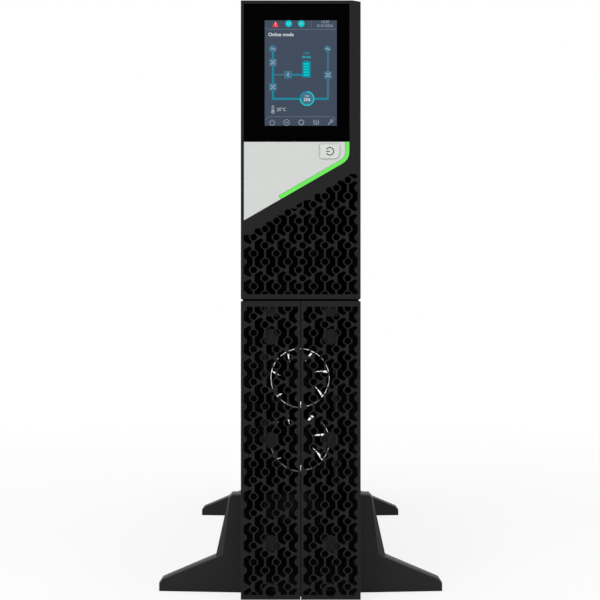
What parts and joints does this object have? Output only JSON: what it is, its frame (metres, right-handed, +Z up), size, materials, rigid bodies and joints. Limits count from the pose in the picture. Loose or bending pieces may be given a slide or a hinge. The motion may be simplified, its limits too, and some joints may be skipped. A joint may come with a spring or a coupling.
{
  "type": "rack-tower uninterruptible power supply",
  "caption": "Slim black uninterruptible power supply standing on tower feet, with a display, label panel, perforated front grilles, rear fans and sockets.",
  "frame": {"origin": "middle of the footprint on the floor, under the part's box", "axes": "+Z up, the front face looks towards -Y, +X to the right as seen from the front"},
  "size_m": [0.2188, 0.6082, 0.442],
  "materials": {
    "case_paint": "fine black powder coat",
    "front_plastic": "moulded, fine satin texture",
    "display_glass": "black gloss",
    "display_screen": "lit screen",
    "label_plastic": "satin pale grey",
    "green_plastic": "satin bright green",
    "button_plastic": "satin pale grey",
    "socket_plastic": "moulded black",
    "pin_brass": "plain",
    "port_steel": "nickel plated",
    "fan_plastic": "moulded black",
    "guard_wire": "bright plated wire",
    "foot_plastic": "moulded, fine satin texture"
  },
  "bodies": {
    "body": {"chassis_tray": "case_paint", "chassis_cover": "case_paint", "rear_panel": "case_paint", "upper_front_panel": "front_plastic", "lower_left_grille": "front_plastic", "lower_right_grille": "front_plastic", "display_glass": "display_glass", "display_screen": "display_screen", "label_panel": "label_plastic", "green_strip": "green_plastic", "mains_inlet": "socket_plastic", "inlet_pins": "pin_brass", "left_outlet_block": "socket_plastic", "right_outlet_block": "socket_plastic", "card_slot_cover": "case_paint", "usb_port": "port_steel", "serial_port": "port_steel", "circuit_breaker": "socket_plastic", "earth_stud": "pin_brass", "lower_fan_frame": "fan_plastic", "lower_fan_guard": "guard_wire", "upper_fan_frame": "fan_plastic", "upper_fan_guard": "guard_wire", "front_left_foot": "foot_plastic", "front_right_foot": "foot_plastic", "rear_left_foot": "foot_plastic", "rear_right_foot": "foot_plastic"},
    "upper_rotor": {"upper_fan_rotor": "fan_plastic"},
    "lower_rotor": {"lower_fan_rotor": "fan_plastic"},
    "button": {"power_button": "button_plastic"}
  },
  "joints": [
    {"name": "upper_fan_spin", "type": "hinge", "parent": "body", "child": "upper_rotor", "pos_m": [0, 0.2829, 0.146], "axis": [0, 1, 0], "continuous": true},
    {"name": "lower_fan_spin", "type": "hinge", "parent": "body", "child": "lower_rotor", "pos_m": [0, 0.2829, 0.064], "axis": [0, 1, 0], "continuous": true},
    {"name": "button_press", "type": "slide", "parent": "body", "child": "button", "axis": [0, 1, 0], "range_m": [0, 0.001], "stiffness_N_per_m": 1500}
  ]
}
